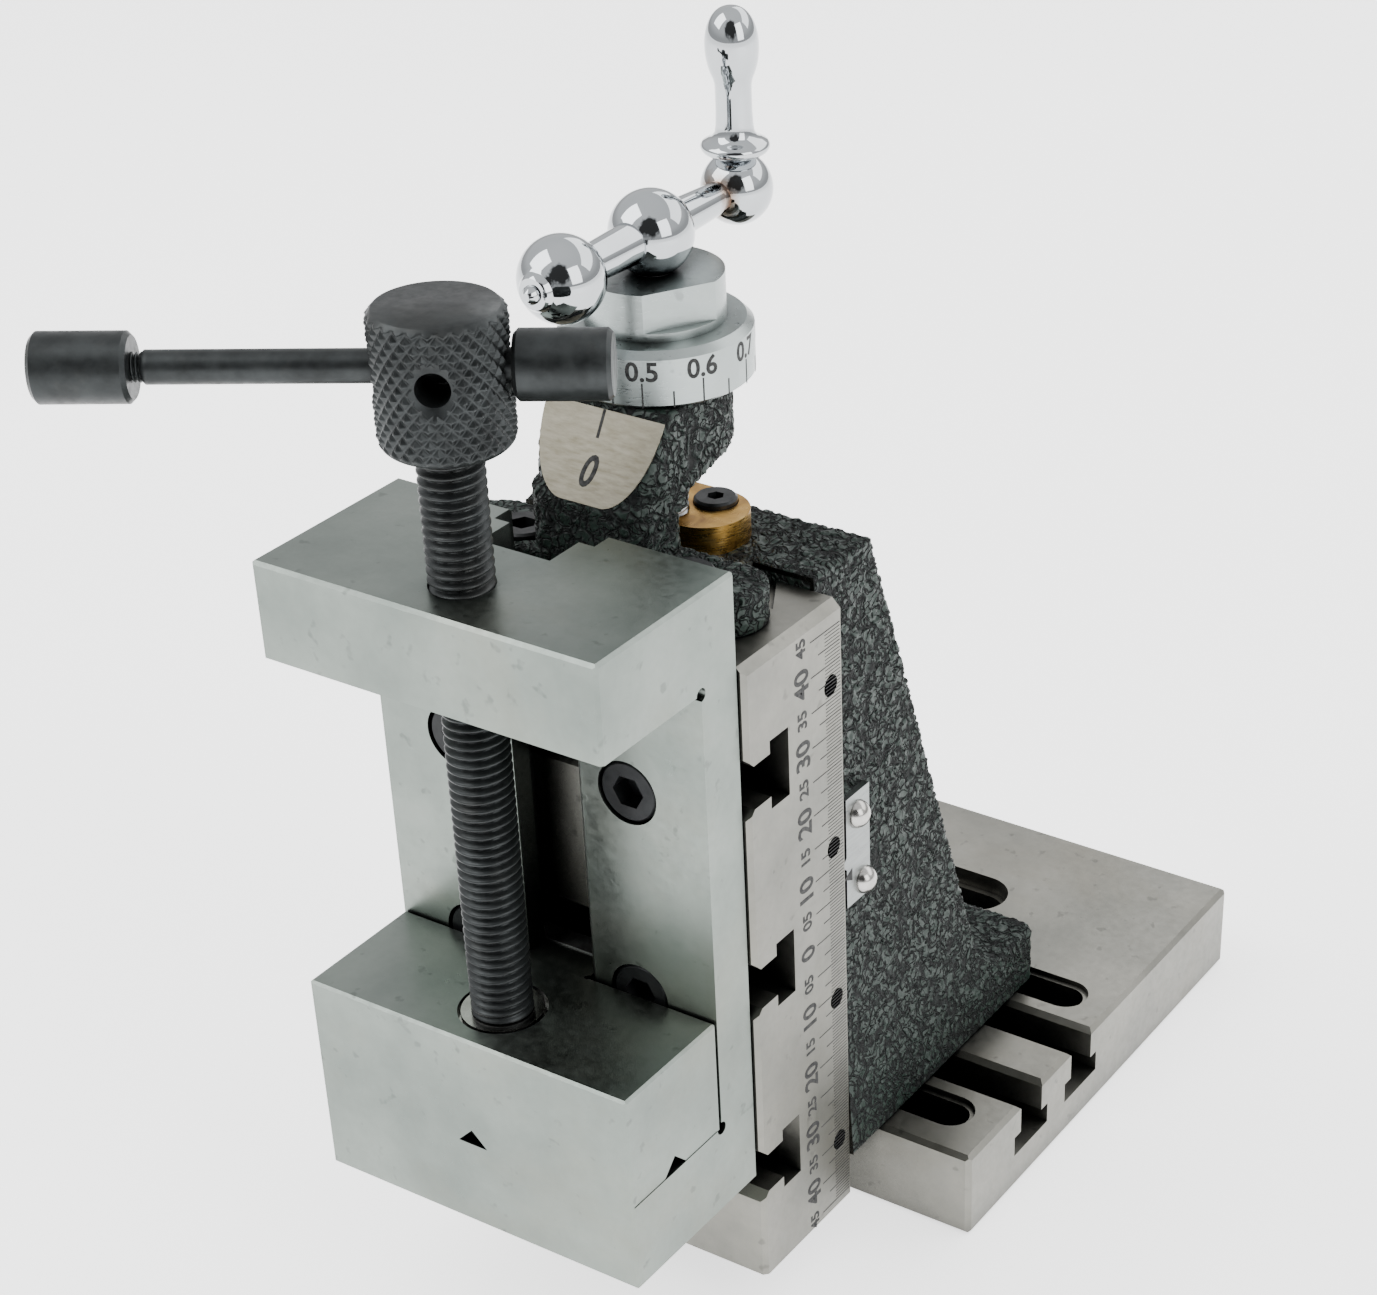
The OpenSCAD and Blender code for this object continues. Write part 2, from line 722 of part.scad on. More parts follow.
module screw_retaining_ring() {
    color("silver") translate([vice_x, vice_screw_y, jaw_top - ring_t]) difference() {
        cylinder(h = ring_t, r = pocket_r);
        translate([0, 0, -1]) cylinder(h = big, r = neck_r + run_gap);
        translate([0, 0, ring_t - 1]) difference() {
            cylinder(h = 2, r = pocket_r + 1);
            cylinder(h = 2, r = pocket_r - 0.45);
        }
    }
}

module vice_screw() {
    flange_z = jaw_top - pocket_depth + 0.1;
    color("dimgray") translate([vice_x, vice_screw_y, 0]) {
        translate([0, 0, jaw_top + 0.2]) cylinder(h = head_z + 5 - jaw_top - 0.2, r = vice_screw_r);
        translate([0, 0, flange_z]) cylinder(h = jaw_top + 1 - flange_z, r = neck_r);
        translate([0, 0, flange_z])
            cylinder(h = pocket_depth - ring_t - 0.2, r = pocket_r - 0.3);
    }
}

module knurled_head() {
    r = head_d / 2;
    round_r = 2;
    color("dimgray") translate([vice_x, vice_screw_y, head_z]) difference() {
        rotate_extrude() {
            translate([0, round_r]) square([r, head_h - round_r - 1]);
            square([r - round_r, head_h]);
            translate([r - round_r, round_r]) circle(round_r);
            polygon([[0, head_h - 1], [r, head_h - 1], [r - 1, head_h], [0, head_h]]);
        }
        translate([0, 0, -1]) cylinder(h = 6, r = vice_screw_r);
        for (turn = [0, 90]) translate([0, 0, bar_z - head_z]) rotate([0, 0, bar_angle + turn])
            rotate([0, 90, 0]) cylinder(h = big, r = bar_r + 0.09, center = true);
    }
}

// Places children along the tommy bar, with +Z towards its right-hand cap
module along_bar() {
    translate([vice_x, vice_screw_y, bar_z]) rotate([0, 0, bar_angle]) rotate([0, 90, 0]) children();
}

module tommy_bar() {
    right_end = head_d / 2 + cap_gap;
    thread_r = bar_r - 0.5;
    tail = 6;
    color("dimgray") along_bar() {
        translate([0, 0, -bar_reach + thread_neck])
            cylinder(h = bar_reach - thread_neck + right_end, r = bar_r);
        translate([0, 0, -bar_reach - tail])
            cylinder(h = bar_reach + right_end + 2 * tail, r = thread_r);
    }
}

// A cap with a blind thread, from its mouth at z = 0
module bar_cap() {
    chamfer = 0.5;
    difference() {
        rotate_extrude() polygon([
            [0, 0], [cap_r - chamfer, 0], [cap_r, chamfer],
            [cap_r, cap_l - chamfer], [cap_r - chamfer, cap_l], [0, cap_l]
        ]);
        translate([0, 0, -1]) cylinder(h = 8, r = bar_r - 0.5 + run_gap);
    }
}

module bar_cap_left() {
    color("dimgray") along_bar() translate([0, 0, -bar_reach]) rotate([180, 0, 0]) bar_cap();
}

module bar_cap_right() {
    color("dimgray") along_bar() translate([0, 0, head_d / 2 + cap_gap]) bar_cap();
}

base_plate();
angle_casting();
base_plate_screws();
feed_nut();
feed_nut_screws();
pointer_plate();
pointer_screws();
slide_table();
gib_strip();
gib_screws();
screw_bracket();
screw_bracket_screws();
vice_body();
vice_mount_screws();
vice_t_nuts();
feed_screw();
graduated_dial();
dial_hub();
crank_arm();
crank_handle();
moving_jaw();
jaw_retainer();
jaw_retainer_screw();
screw_retaining_ring();
vice_screw();
knurled_head();
tommy_bar();
bar_cap_left();
bar_cap_right();
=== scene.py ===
"""Looks for a vertical milling slide with a small toolmaker's vice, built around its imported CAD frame."""

import json
import math

import bmesh
import bpy
from mathutils import Matrix, Vector, noise

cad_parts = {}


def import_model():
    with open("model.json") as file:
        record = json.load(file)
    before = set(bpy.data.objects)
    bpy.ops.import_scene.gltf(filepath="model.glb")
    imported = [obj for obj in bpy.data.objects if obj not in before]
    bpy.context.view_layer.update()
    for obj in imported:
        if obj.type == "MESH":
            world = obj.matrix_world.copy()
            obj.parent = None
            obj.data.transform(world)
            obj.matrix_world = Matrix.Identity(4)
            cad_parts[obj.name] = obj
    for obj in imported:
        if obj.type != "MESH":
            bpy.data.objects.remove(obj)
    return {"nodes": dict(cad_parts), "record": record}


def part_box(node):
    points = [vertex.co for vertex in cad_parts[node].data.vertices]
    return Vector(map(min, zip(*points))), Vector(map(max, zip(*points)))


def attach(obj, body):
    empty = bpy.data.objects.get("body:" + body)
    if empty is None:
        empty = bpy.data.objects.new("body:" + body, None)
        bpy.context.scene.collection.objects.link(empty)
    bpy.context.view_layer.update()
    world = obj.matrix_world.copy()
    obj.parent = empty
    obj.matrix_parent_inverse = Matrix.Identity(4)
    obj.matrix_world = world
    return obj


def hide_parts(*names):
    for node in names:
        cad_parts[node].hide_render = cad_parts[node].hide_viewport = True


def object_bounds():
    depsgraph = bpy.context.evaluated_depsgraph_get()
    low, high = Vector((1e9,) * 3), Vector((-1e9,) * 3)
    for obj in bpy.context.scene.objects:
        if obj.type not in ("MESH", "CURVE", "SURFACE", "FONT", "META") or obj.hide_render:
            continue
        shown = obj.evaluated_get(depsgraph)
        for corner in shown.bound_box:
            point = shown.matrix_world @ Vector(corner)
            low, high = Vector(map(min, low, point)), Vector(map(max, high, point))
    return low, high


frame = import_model()
cad_bounds = [list(corner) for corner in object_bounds()]

MM = 0.001
X = Vector((1, 0, 0))
Y = Vector((0, 1, 0))
Z = Vector((0, 0, 1))


# ---------------------------------------------------------------- places read from the frame

def low(node):
    """The corner of a node's box with the smallest x, y and z."""
    return Vector(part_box(node)[0])


def high(node):
    """The corner of a node's box with the largest x, y and z."""
    return Vector(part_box(node)[1])


def middle(node):
    return (low(node) + high(node)) / 2


def joint(name):
    return next(j for j in frame["record"]["behaviour"]["joints"] if j["name"] == name)


def upright_axis(name):
    """Where a joint's vertical axis meets z = 0."""
    x, y, _ = joint(name)["pos_m"]
    return Vector((x, y, 0))


FEED = upright_axis("feed_crank_turn")
HANDLE = upright_axis("handle_spin")
VICE_AXIS = upright_axis("vice_screw_turn")
BAR_WAY = Vector(joint("tommy_bar_slide")["axis"]).normalized()

CRANK_BALL_R = 5.3 * MM
CRANK_Z = high("crank_arm").z - CRANK_BALL_R

# Size of a cell in the skin of the painted castings, and how far a printed mark stands out of its surface
SKIN = 0.28 * MM
MARK_T = 0.025 * MM


# ---------------------------------------------------------------- node materials

class Nodes:
    """A tree of shader nodes that is built up one value at a time."""

    def __init__(self, tree, coords):
        self.tree = tree
        self.coords = tree.nodes.new("ShaderNodeTexCoord").outputs[coords]

    def link(self, source, target):
        self.tree.links.new(source, target)

    def stretched(self, scale):
        """The coordinates scaled on each axis, which draws a pattern out along the least scaled one."""
        node = self.tree.nodes.new("ShaderNodeMapping")
        node.inputs["Scale"].default_value = scale
        self.link(self.coords, node.inputs["Vector"])
        return node.outputs["Vector"]

    def noise(self, scale, detail=4.0, rough=0.55, distortion=0.0, stretch=None):
        node = self.tree.nodes.new("ShaderNodeTexNoise")
        node.inputs["Scale"].default_value = scale
        node.inputs["Detail"].default_value = detail
        node.inputs["Roughness"].default_value = rough
        node.inputs["Distortion"].default_value = distortion
        self.link(self.stretched(stretch) if stretch else self.coords, node.inputs["Vector"])
        return node.outputs["Fac"]

    def spread(self, value, lo, hi, out_lo=0.0, out_hi=1.0):
        """Maps lo to hi onto out_lo to out_hi, and holds the end values beyond them."""
        node = self.tree.nodes.new("ShaderNodeMapRange")
        node.inputs["From Min"].default_value = lo
        node.inputs["From Max"].default_value = hi
        node.inputs["To Min"].default_value = out_lo
        node.inputs["To Max"].default_value = out_hi
        self.link(value, node.inputs["Value"])
        return node.outputs["Result"]

    def math(self, operation, first, second=None):
        node = self.tree.nodes.new("ShaderNodeMath")
        node.operation = operation
        for socket, value in zip(node.inputs, (first, second)):
            if isinstance(value, (int, float)):
                socket.default_value = value
            elif value is not None:
                self.link(value, socket)
        return node.outputs["Value"]

    def against(self, operation, fixed):
        """The number that a vector operation makes of the coordinates and a fixed vector."""
        node = self.tree.nodes.new("ShaderNodeVectorMath")
        node.operation = operation
        self.link(self.coords, node.inputs[0])
        node.inputs[1].default_value = fixed
        return node.outputs["Value"]

    def ramp(self, value, *stops):
        """The colour at value between stops, each a place from 0 to 1 and its colour."""
        node = self.tree.nodes.new("ShaderNodeValToRGB")
        elements = node.color_ramp.elements
        while len(elements) < len(stops):
            elements.new(0.5)
        for element, (place, colour) in zip(elements, stops):
            element.position = place
            element.color = (*colour, 1)
        self.link(value, node.inputs["Fac"])
        return node.outputs["Color"]

    def mix(self, factor, first, second):
        """The first colour where factor is 0 and the second where it is 1."""
        node = self.tree.nodes.new("ShaderNodeMix")
        node.data_type = "RGBA"
        self.link(factor, node.inputs["Factor"])
        for name, value in (("A", first), ("B", second)):
            socket = next(s for s in node.inputs if s.name == name and s.type == "RGBA")
            if isinstance(value, tuple):
                socket.default_value = (*value, 1)
            else:
                self.link(value, socket)
        return next(s for s in node.outputs if s.type == "RGBA")

    def coordinate(self, axis):
        """The coordinate along one axis: 'X', 'Y' or 'Z'."""
        node = self.tree.nodes.new("ShaderNodeSeparateXYZ")
        self.link(self.coords, node.inputs[0])
        return node.outputs[axis]

    def cavity(self, reach, closed, open_):
        """Is 1 where the surface is tucked into a slot or corner, and 0 in the open."""
        node = self.tree.nodes.new("ShaderNodeAmbientOcclusion")
        node.samples = 8
        node.inputs["Distance"].default_value = reach
        return self.spread(node.outputs["AO"], closed, open_, 1.0, 0.0)

    def bump(self, value, depth, strength=1.0, after=None):
        """A normal that raises the surface by value, on top of an earlier normal if there is one."""
        node = self.tree.nodes.new("ShaderNodeBump")
        node.inputs["Distance"].default_value = depth
        node.inputs["Strength"].default_value = strength
        self.link(value, node.inputs["Height"])
        if after is not None:
            self.link(after, node.inputs["Normal"])
        return node.outputs["Normal"]


class Shader(Nodes):
    """The nodes of one new material."""

    def __init__(self, name):
        self.material = bpy.data.materials.new(name)
        self.material.use_nodes = True
        super().__init__(self.material.node_tree, "Object")
        self.bsdf = self.tree.nodes["Principled BSDF"]

    def finish(self, colour=None, roughness=None, normal=None, metallic=0.0, specular=0.5):
        """Sets the surface, each value a number or the output of a node, and gives the material."""
        self.bsdf.inputs["Metallic"].default_value = metallic
        self.bsdf.inputs["Specular IOR Level"].default_value = specular
        for name, value in (("Base Color", colour), ("Roughness", roughness), ("Normal", normal)):
            if isinstance(value, (int, float)):
                self.bsdf.inputs[name].default_value = value
            elif value is not None:
                self.link(value, self.bsdf.inputs[name])
        return self.material


def ground_metal(name, dark, pale, stain, roughness, along=(1, 1, 1)):
    """Surface-ground steel or iron: cloudy tone, oily stains, fine grinding lines, small nicks and painted
    shade in hollows.
    """
    s = Shader(name)
    cloud = s.noise(55, 5, 0.6)
    grain = s.noise(900, 3, 0.6, stretch=along)
    nicks = s.spread(s.noise(420, 2, 0.5), 0.66, 0.74)
    tone = s.ramp(cloud, (0.3, dark), (0.7, pale))
    stains = s.spread(s.noise(26, 4, 0.65, 0.6), 0.52, 0.78, 0.0, 0.55)
    tone = s.mix(stains, tone, stain)
    tone = s.mix(s.math("MULTIPLY", nicks, 0.35), tone, tuple(c * 0.35 for c in dark))
    # painted shade: the colour goes nearly black in slots, corners and under overhangs, where shade falls
    painted_shade_in_hollows = s.math("MAXIMUM", s.cavity(8 * MM, 0.3, 0.68), s.cavity(26 * MM, 0.22, 0.42))
    tone = s.mix(s.math("MULTIPLY", painted_shade_in_hollows, 0.95), tone, (0.008, 0.009, 0.01))
    rough = s.spread(s.math("ADD", s.math("MULTIPLY", grain, 0.6), s.math("MULTIPLY", cloud, 0.4)),
                     0.3, 0.7, roughness - 0.07, roughness + 0.1)
    lines = s.bump(grain, 0.02 * MM, 0.5)
    normal = s.bump(nicks, -0.03 * MM, 0.5, lines)
    return s.finish(tone, rough, normal, metallic=1.0)


def wrinkle_paint():
    """Dark wrinkle paint: narrow creases curl between raised folds, over the folds in the mesh, and painted
    shade turns the creases black.
    """
    s = Shader("wrinkle_paint_skin")

    def crease(scale, width):
        """Is 0 along the lines where a noise crosses its middle, and 1 beyond their width."""
        off_middle = s.math("SUBTRACT", s.noise(scale, 0.4, 0.5, 0.7), 0.5)
        return s.spread(s.math("ABSOLUTE", off_middle), 0.004, width)

    folds = s.math("MINIMUM", s.math("MINIMUM", crease(360, 0.07), crease(500, 0.06)), crease(670, 0.05))
    # painted shade: the colour falls to near black in the creases and rises towards the tops of the folds
    tone = s.ramp(folds, (0.0, (0.0012, 0.0017, 0.0016)), (0.4, (0.006, 0.0095, 0.0085)),
                  (1.0, (0.016, 0.026, 0.021)))
    # the tops of the folds are lightened in patches: partly rubbed wear, partly a painted highlight on the
    # ridges
    worn = s.spread(s.noise(300, 4, 0.6), 0.52, 0.75, 0.0, 0.3)
    tone = s.mix(s.math("MULTIPLY", worn, folds), tone, (0.034, 0.052, 0.043))
    rough = s.spread(folds, 0, 1, 0.75, 0.42)
    fine = s.bump(s.noise(2400, 3, 0.6), 0.02 * MM, 0.6)
    return s.finish(tone, rough, s.bump(folds, 0.45 * MM, 1.0, fine), specular=0.25)


def blackened(name, tone, roughness):
    """Chemically blackened steel: uneven blue-black, browner where it is rubbed."""
    s = Shader(name)
    cloud = s.noise(240, 4, 0.6)
    dark, pale = (tuple(c * factor for c in tone) for factor in (0.7, 1.5))
    colour = s.ramp(cloud, (0.3, dark), (0.72, pale))
    rubbed = s.spread(s.noise(90, 5, 0.7), 0.55, 0.75, 0.0, 0.35)
    colour = s.mix(rubbed, colour, (tone[0] * 2.6, tone[1] * 2.3, tone[2] * 2.1))
    rough = s.spread(s.noise(700, 3), 0.3, 0.7, roughness - 0.08, roughness + 0.1)
    return s.finish(colour, rough, s.bump(s.noise(1500, 3), 0.012 * MM, 0.6), metallic=0.75)


def brass():
    """Turned brass, dulled and browned in clouds."""
    s = Shader("tarnished_brass")
    cloud = s.noise(210, 5, 0.6, 0.4)
    colour = s.ramp(cloud, (0.3, (0.2, 0.1, 0.025)), (0.5, (0.42, 0.24, 0.055)), (0.75, (0.62, 0.42, 0.15)))
    turning = s.noise(500, 3, 0.6, stretch=(1, 1, 9))
    rough = s.spread(turning, 0.3, 0.7, 0.2, 0.42)
    return s.finish(colour, rough, s.bump(turning, 0.02 * MM, 0.6), metallic=1.0)


def chrome(name, tone, roughness, depth, stain_at, stain_reach):
    """Chrome plate with faint polishing ripples, and a ragged rusty stain round one point."""
    s = Shader(name)
    ripple = s.noise(160, 2)
    colour = s.ramp(ripple, (0.3, tuple(c * 0.93 for c in tone)), (0.7, tone))
    edge = s.math("MULTIPLY", s.noise(420, 4, 0.7), stain_reach * 0.9)
    distance = s.math("ADD", s.against("DISTANCE", stain_at), edge)
    stained = s.spread(distance, stain_reach * 0.95, stain_reach * 1.35, 0.75, 0.0)
    colour = s.mix(stained, colour, (0.2, 0.11, 0.055))
    rough = s.spread(s.noise(600, 3), 0.3, 0.7, roughness * 0.6, roughness * 1.5)
    return s.finish(colour, rough, s.bump(ripple, depth, 0.5), metallic=1.0)


def plain_metal(name, dark, pale, roughness, scale=300, stretch=None):
    """Clean bare metal with a fine grain."""
    s = Shader(name)
    grain = s.noise(scale, 4, 0.6, stretch=stretch)
    colour = s.ramp(grain, (0.3, dark), (0.7, pale))
    rough = s.spread(grain, 0.3, 0.7, roughness - 0.06, roughness + 0.08)
    return s.finish(colour, rough, s.bump(grain, 0.015 * MM, 0.5), metallic=1.0)


def marking_ink():
    """The black of the printed or filled lines and numbers, a little worn."""
    s = Shader("black_marking")
    worn = s.noise(1800, 4, 0.7)
    colour = s.ramp(worn, (0.35, (0.008, 0.008, 0.009)), (0.75, (0.05, 0.05, 0.048)))
    return s.finish(colour, 0.6, s.bump(worn, 0.01 * MM, 0.4), specular=0.2)


MATERIALS = {
    "ground_iron": ground_metal("ground_iron_skin", (0.145, 0.145, 0.13), (0.235, 0.23, 0.205),
                                (0.15, 0.138, 0.11), 0.38),
    "vice_steel": ground_metal("vice_steel_skin", (0.145, 0.168, 0.153), (0.225, 0.25, 0.228),
                               (0.19, 0.19, 0.155), 0.33),
    "wrinkle_paint": wrinkle_paint(),
    "black_oxide": blackened("black_oxide_skin", (0.016, 0.017, 0.018), 0.4),
    "screw_black": blackened("blackened_steel_skin", (0.022, 0.0245, 0.025), 0.4),
    "brass": brass(),
    "aluminium": plain_metal("aluminium_skin", (0.19, 0.2, 0.2), (0.27, 0.285, 0.28), 0.3, 260, (1, 1, 8)),
    "bright_screws": plain_metal("bright_screw_skin", (0.33, 0.32, 0.3), (0.5, 0.49, 0.47), 0.2),
    "screw_steel": plain_metal("turned_steel_skin", (0.2, 0.2, 0.2), (0.36, 0.36, 0.36), 0.34),
    "satin_chrome": ground_metal("satin_chrome_skin", (0.27, 0.3, 0.297), (0.34, 0.375, 0.367),
                                 (0.17, 0.185, 0.175), 0.3, (1, 1, 6)),
    "bright_chrome": chrome("bright_chrome_skin", (0.43, 0.45, 0.465), 0.05, 0.012 * MM,
                            HANDLE + Z * CRANK_Z - Y * 4.2 * MM, 3.9 * MM),
}
BARE_FACET = plain_metal("bare_facet_skin", (0.13, 0.12, 0.088), (0.25, 0.235, 0.19), 0.45, 420, (1, 4, 4))
INK = marking_ink()

# The pieces that stay as the CAD made them take their slot's material
for part in frame["record"]["subparts"]:
    frame["nodes"][part["node"]].data.materials[0] = MATERIALS[part["material_slot"]]


# ---------------------------------------------------------------- mesh tools

def piece(name, verts, faces, body, slot, material=None, sharp=35, replaces=()):
    """Makes a mesh object that rides on a body and takes a slot's finish."""
    mesh = bpy.data.meshes.new(name)
    mesh.from_pydata([tuple(v) for v in verts], [], faces)
    mesh.validate()
    mesh.update()
    mesh.materials.append(material or MATERIALS[slot])
    mesh.shade_smooth()
    mesh.set_sharp_from_angle(angle=math.radians(sharp))
    obj = bpy.data.objects.new(name, mesh)
    bpy.context.scene.collection.objects.link(obj)
    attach(obj, body)
    if replaces:
        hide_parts(*replaces)
    return obj


def seated(start, u, v, w):
    """A matrix that takes the local X, Y and Z to u, v and w, and the origin to start."""
    return Matrix.Translation(start) @ Matrix((u, v, w)).transposed().to_4x4()


def along(start, way):
    """A matrix that takes local Z to way and the origin to start."""
    w = way.normalized()
    u = (Z if abs(w.z) < 0.9 else X).cross(w).normalized()
    return seated(start, u, w.cross(u), w)


def ring_stack(rings, bottom_z, top_z):
    """A closed solid round Z from rings of evenly spread radii, each with its height, capped at both ends."""
    around = len(rings[0][0])
    verts = []
    for radii, z in rings:
        for i, r in enumerate(radii):
            turn = math.tau * i / around
            verts.append(Vector((r * math.cos(turn), r * math.sin(turn), z)))
    last = len(verts) - around
    bottom, top = len(verts), len(verts) + 1
    verts += [Vector((0, 0, bottom_z)), Vector((0, 0, top_z))]
    sides = [(i, (i + 1) % around) for i in range(around)]
    faces = [(k + i, k + j, k + around + j, k + around + i) for k in range(0, last, around) for i, j in sides]
    faces += [(bottom, j, i) for i, j in sides]
    faces += [(top, last + i, last + j) for i, j in sides]
    return verts, faces


def relief_rod(radius_at, stations, around):
    """A closed rod along Z whose radius is a function of angle and height."""
    turns = [math.tau * i / around for i in range(around)]
    rings = [([radius_at(turn, z) for turn in turns], z) for z in stations]
    return ring_stack(rings, stations[0], stations[-1])


def turned(profile, around=96):
    """A closed solid of revolution round Z from (r, z) points that start and end on the axis."""
    rings = [([r] * around, z) for r, z in profile[1:-1]]
    return ring_stack(rings, profile[0][1], profile[-1][1])


def prism(outline, bottom, top):
    """A solid between two heights over an outline that turns to the left."""
    count = len(outline)
    verts = [Vector((x, y, z)) for z in (bottom, top) for x, y in outline]
    faces = [tuple(reversed(range(count))), tuple(range(count, 2 * count))]
    faces += [(i, (i + 1) % count, count + (i + 1) % count, count + i) for i in range(count)]
    return verts, faces


def block(lo, hi):
    """A box between two corners."""
    return prism([(lo[0], lo[1]), (hi[0], lo[1]), (hi[0], hi[1]), (lo[0], hi[1])], lo[2], hi[2])


def placed(shape, matrix):
    """A shape of (verts, faces) moved by a matrix."""
    verts, faces = shape
    return [matrix @ v for v in verts], faces


def steps(start, end, step):
    """Even stations from start to end, about a step apart."""
    count = max(1, round((end - start) / step))
    return [start + (end - start) * k / count for k in range(count + 1)]


def saw(value):
    """Rises from 0 to 1 and falls back to 0 over each whole number."""
    part = value % 1.0
    return 1 - abs(2 * part - 1)


def thread_radius(turn, z, outer, pitch, depth):
    """The radius of a right-hand thread with small flats on its crests and roots."""
    wave = saw(z / pitch - turn / math.tau)
    return outer - depth * (1 - min(1.0, max(0.0, wave * 1.35 - 0.12)))


def cut(target, tool_shapes):
    """Cuts solids out of a piece, with the tools thrown away afterwards."""
    for verts, faces in tool_shapes:
        mesh = bpy.data.meshes.new("cutter")
        mesh.from_pydata([tuple(v) for v in verts], [], faces)
        tool = bpy.data.objects.new("cutter", mesh)
        bpy.context.scene.collection.objects.link(tool)
        modifier = target.modifiers.new("cut", "BOOLEAN")
        modifier.operation = "DIFFERENCE"
        modifier.solver = "EXACT"
        modifier.object = tool
        depsgraph = bpy.context.evaluated_depsgraph_get()
        result = bpy.data.meshes.new_from_object(target.evaluated_get(depsgraph))
        target.modifiers.clear()
        target.data = result
        bpy.data.objects.remove(tool)


# ---------------------------------------------------------------- threaded and knurled steel

def vice_screw():
    """The long threaded screw, with a smooth neck and a foot held in the moving jaw."""
    lo, hi = low("vice_screw"), high("vice_screw")
    neck_top = high("moving_jaw").z + 0.2 * MM
    outer = 4.0 * MM
    thread_top = hi.z - 5 * MM

    def radius(turn, z):
        if z < neck_top - 2.4 * MM:
            return 5.4 * MM
        if z < neck_top:
            return 3.4 * MM
        if z > thread_top + 1 * MM:
            return outer
        runout = min(1, (z - neck_top) / (1 * MM))
        return thread_radius(turn, z, outer, 1.25 * MM, 0.72 * MM * runout)

    stations = [lo.z, neck_top - 2.5 * MM, neck_top - 2.3 * MM, neck_top - 0.01 * MM]
    stations += steps(neck_top + 0.01 * MM, thread_top, 0.105 * MM) + [hi.z]
    shape = relief_rod(radius, stations, 56)
    piece("vice_screw_thread", *placed(shape, Matrix.Translation(VICE_AXIS)),
          "vice_spindle", "screw_black", sharp=60, replaces=("vice_screw",))


def feed_screw():
    """The screw that lifts the slide: thread, collar, journal in the bracket and a thinner end in the hub."""
    lo, hi = low("feed_screw"), high("feed_screw")
    journal_top = low("graduated_dial").z
    collar = journal_top - 6.6 * MM
    outer = 3.0 * MM

    def radius(turn, z):
        if z < collar - 2.6 * MM:
            return thread_radius(turn, z, outer, 1.0 * MM, 0.55 * MM)
        if z < collar - 0.06 * MM:
            return 4.95 * MM
        return outer if z < journal_top else 2.45 * MM

    stations = steps(lo.z, collar - 2.62 * MM, 0.1 * MM)
    stations += [collar - 2.58 * MM, collar - 0.08 * MM, collar - 0.04 * MM]
    stations += [journal_top - 0.1 * MM, journal_top + 0.02 * MM, hi.z]
    shape = relief_rod(radius, stations, 48)
    piece("feed_screw_thread", *placed(shape, Matrix.Translation(FEED)),
          "feed_crank", "screw_steel", sharp=60, replaces=("feed_screw",))


def knurled_head():
    """A head with a pyramid knurl, chamfered smooth rims and two crossed holes for the bar."""
    lo, hi = low("knurled_head"), high("knurled_head")
    r = (hi.x - lo.x) / 2
    tall = hi.z - lo.z
    diamonds = 28
    rise = 2.0 * MM
    deep = 0.52 * MM
    round_r = 2.0 * MM
    rim = 1.0 * MM

    def radius(turn, z):
        skin = r
        if z < round_r:
            skin -= round_r - math.sqrt(max(0.0, round_r ** 2 - (round_r - z) ** 2))
        skin = min(skin, r + tall - rim * 0.9 - z)
        lean = turn * diamonds / math.tau
        height = min(saw(lean + z / rise), saw(lean - z / rise))
        return min(skin, r - deep * (1 - min(1.0, height * 1.15)))

    stations = steps(0.01 * MM, 0.6 * MM, 0.06 * MM)[:-1] + steps(0.6 * MM, tall, 0.13 * MM)
    shape = relief_rod(radius, stations, diamonds * 12)
    head = piece("knurled_head_diamonds", *placed(shape, Matrix.Translation(VICE_AXIS + Z * lo.z)),
                 "vice_spindle", "screw_black", sharp=50, replaces=("knurled_head",))
    centre = VICE_AXIS + Z * middle("tommy_bar").z
    hole = 2.03 * MM
    tools = []
    for way in (BAR_WAY, Z.cross(BAR_WAY)):
        flare = [(0, -10 * MM), (hole + 3.6 * MM, -10 * MM), (hole + 1.3 * MM, -7.75 * MM),
                 (hole, -7.1 * MM), (hole, 7.1 * MM), (hole + 1.3 * MM, 7.75 * MM),
                 (hole + 3.6 * MM, 10 * MM), (0, 10 * MM)]
        tools.append(placed(turned(flare, 64), along(centre, way)))
    cut(head, tools)


def tommy_bar():
    """The sliding bar, with a fine thread where each cap screws on."""
    centre = VICE_AXIS + Z * middle("tommy_bar").z
    half_cap = 5.5 * MM
    left_mouth = (middle("bar_cap_left") - centre).dot(BAR_WAY) + half_cap
    right_mouth = (middle("bar_cap_right") - centre).dot(BAR_WAY) - half_cap
    outer = 1.95 * MM
    neck = 1.15 * MM

    def radius(turn, s):
        if left_mouth + neck < s < right_mouth - 0.05 * MM:
            edge = min(s - left_mouth - neck, 0.25 * MM)
            return outer - 0.25 * MM + edge
        return thread_radius(turn, s, 1.72 * MM, 0.5 * MM, 0.3 * MM) if s < 0 else 1.4 * MM

    stations = steps(left_mouth - 2 * MM, left_mouth + neck, 0.05 * MM)
    stations += [left_mouth + neck + 0.01 * MM, left_mouth + neck + 0.26 * MM]
    stations += steps(left_mouth + 2 * MM, right_mouth - 0.06 * MM, 2 * MM)
    stations += [right_mouth - 0.04 * MM, right_mouth + 3 * MM]
    shape = relief_rod(radius, stations, 48)
    piece("tommy_bar_turned", *placed(shape, along(centre, BAR_WAY)),
          "tommy", "screw_black", sharp=50, replaces=("tommy_bar",))


# ---------------------------------------------------------------- chrome crank

